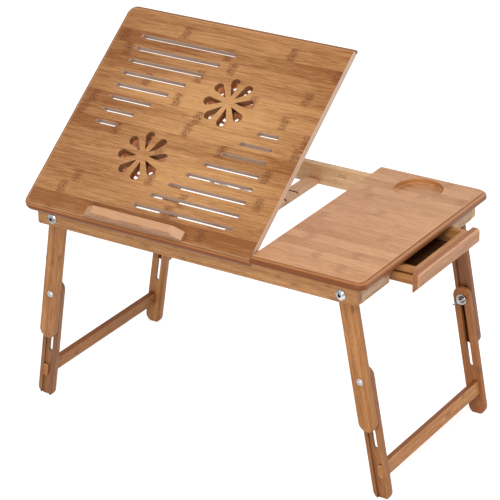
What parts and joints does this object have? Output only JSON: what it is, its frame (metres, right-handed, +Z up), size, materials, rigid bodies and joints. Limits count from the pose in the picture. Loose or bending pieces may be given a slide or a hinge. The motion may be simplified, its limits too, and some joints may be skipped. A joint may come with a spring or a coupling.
{
  "type": "laptop table",
  "caption": "Folding bamboo laptop table with a tilting vented panel, fan unit, side drawer, cup recess and extending legs.",
  "frame": {"origin": "on the floor, midway between the feet", "axes": "+X along the width towards the drawer end, +Y from the front edge to the back, +Z up"},
  "size_m": [0.5816, 0.344, 0.5098],
  "materials": {
    "panel_bamboo": "satin",
    "top_bamboo": "satin",
    "rail_bamboo": "satin",
    "leg_bamboo": "satin",
    "drawer_bamboo": "satin",
    "chrome": "polished",
    "steel": "satin",
    "fan_plastic": "satin",
    "blade_plastic": "satin",
    "motor_plastic": "matte",
    "plug_plastic": "matte"
  },
  "bodies": {
    "frame": {"front_rail": "rail_bamboo", "back_rail": "rail_bamboo", "left_rail": "rail_bamboo", "right_front_block": "rail_bamboo", "right_back_block": "rail_bamboo", "notch_rail": "rail_bamboo", "fixed_top": "top_bamboo", "drawer_runner_front": "rail_bamboo", "drawer_runner_back": "rail_bamboo", "pivot_bolts": "chrome", "pivot_nuts": "chrome", "rail_hinge_leaves": "steel", "rail_hinge_screws": "steel", "hinge_pins": "steel"},
    "tilting_panel": {"tilt_panel": "panel_bamboo", "ledge_bar": "panel_bamboo", "ledge_dowels": "panel_bamboo", "panel_hinge_leaves": "steel", "panel_hinge_screws": "steel", "prop_brackets": "steel", "prop_bracket_screws": "steel", "fan_housing": "fan_plastic", "fan_housing_screws": "steel", "fan_motors": "motor_plastic", "usb_plug_body": "plug_plastic", "usb_plug_shell": "steel"},
    "prop": {"prop_bail": "steel"},
    "front_fan": {"front_fan_impeller": "blade_plastic"},
    "back_fan": {"back_fan_impeller": "blade_plastic"},
    "drawer": {"drawer_front_plate": "drawer_bamboo", "drawer_front_wall": "drawer_bamboo", "drawer_back_wall": "drawer_bamboo", "drawer_front_side": "drawer_bamboo", "drawer_back_side": "drawer_bamboo", "drawer_bottom": "drawer_bamboo", "drawer_screws": "steel"},
    "left_upper_legs": {"left_front_upper_leg": "leg_bamboo", "left_back_upper_leg": "leg_bamboo", "left_carriage_bolts": "chrome", "left_washers": "chrome"},
    "left_lower_legs": {"left_front_lower_leg": "leg_bamboo", "left_back_lower_leg": "leg_bamboo", "left_crossbar": "leg_bamboo"},
    "left_front_wing": {"left_front_wing_nut": "chrome"},
    "left_back_wing": {"left_back_wing_nut": "chrome"},
    "right_upper_legs": {"right_front_upper_leg": "leg_bamboo", "right_back_upper_leg": "leg_bamboo", "right_carriage_bolts": "chrome", "right_washers": "chrome"},
    "right_lower_legs": {"right_front_lower_leg": "leg_bamboo", "right_back_lower_leg": "leg_bamboo", "right_crossbar": "leg_bamboo"},
    "right_front_wing": {"right_front_wing_nut": "chrome"},
    "right_back_wing": {"right_back_wing_nut": "chrome"}
  },
  "joints": [
    {"name": "panel_tilt", "type": "hinge", "parent": "frame", "child": "tilting_panel", "pos_m": [0, -0.1583, 0.309], "axis": [1, 0, 0], "range_deg": [-36.9, 0]},
    {"name": "prop_fold", "type": "hinge", "parent": "tilting_panel", "child": "prop", "pos_m": [0.00299, -0.07043, 0.35997], "axis": [1, 0, 0], "range_deg": [0, 71.63]},
    {"name": "front_fan_spin", "type": "hinge", "parent": "tilting_panel", "child": "front_fan", "pos_m": [-0.12394, -0.07672, 0.37026], "axis": [0, -0.6004, 0.7997], "continuous": true},
    {"name": "back_fan_spin", "type": "hinge", "parent": "tilting_panel", "child": "back_fan", "pos_m": [-0.04088, 0.00738, 0.43339], "axis": [0, -0.6004, 0.7997], "continuous": true},
    {"name": "drawer_slide", "type": "slide", "parent": "frame", "child": "drawer", "axis": [1, 0, 0], "range_m": [-0.036, 0.055]},
    {"name": "left_leg_fold", "type": "hinge", "parent": "frame", "child": "left_upper_legs", "pos_m": [-0.22546, 0, 0.2913], "axis": [0, -1, 0], "range_deg": [0, 91.5]},
    {"name": "left_leg_height", "type": "slide", "parent": "left_upper_legs", "child": "left_lower_legs", "axis": [0.1668, 0, 0.986], "range_m": [0, 0.09]},
    {"name": "left_front_wing_turn", "type": "hinge", "parent": "left_upper_legs", "child": "left_front_wing", "pos_m": [-0.24627, -0.1269, 0.16825], "axis": [0, -1, 0], "range_deg": [-180, 180]},
    {"name": "left_back_wing_turn", "type": "hinge", "parent": "left_upper_legs", "child": "left_back_wing", "pos_m": [-0.24627, 0.1269, 0.16825], "axis": [0, -1, 0], "range_deg": [-180, 180]},
    {"name": "right_leg_fold", "type": "hinge", "parent": "frame", "child": "right_upper_legs", "pos_m": [0.22546, 0, 0.2913], "axis": [0, -1, 0], "range_deg": [-91.5, 0]},
    {"name": "right_leg_height", "type": "slide", "parent": "right_upper_legs", "child": "right_lower_legs", "axis": [0.1668, 0, -0.986], "range_m": [-0.09, 0]},
    {"name": "right_front_wing_turn", "type": "hinge", "parent": "right_upper_legs", "child": "right_front_wing", "pos_m": [0.24627, -0.1269, 0.16825], "axis": [0, -1, 0], "range_deg": [-180, 180]},
    {"name": "right_back_wing_turn", "type": "hinge", "parent": "right_upper_legs", "child": "right_back_wing", "pos_m": [0.24627, 0.1269, 0.16825], "axis": [0, -1, 0], "range_deg": [-180, 180]}
  ],
  "couplings": [
    {"joint": "prop_fold", "follows": "panel_tilt", "ratio": -1.9409}
  ]
}
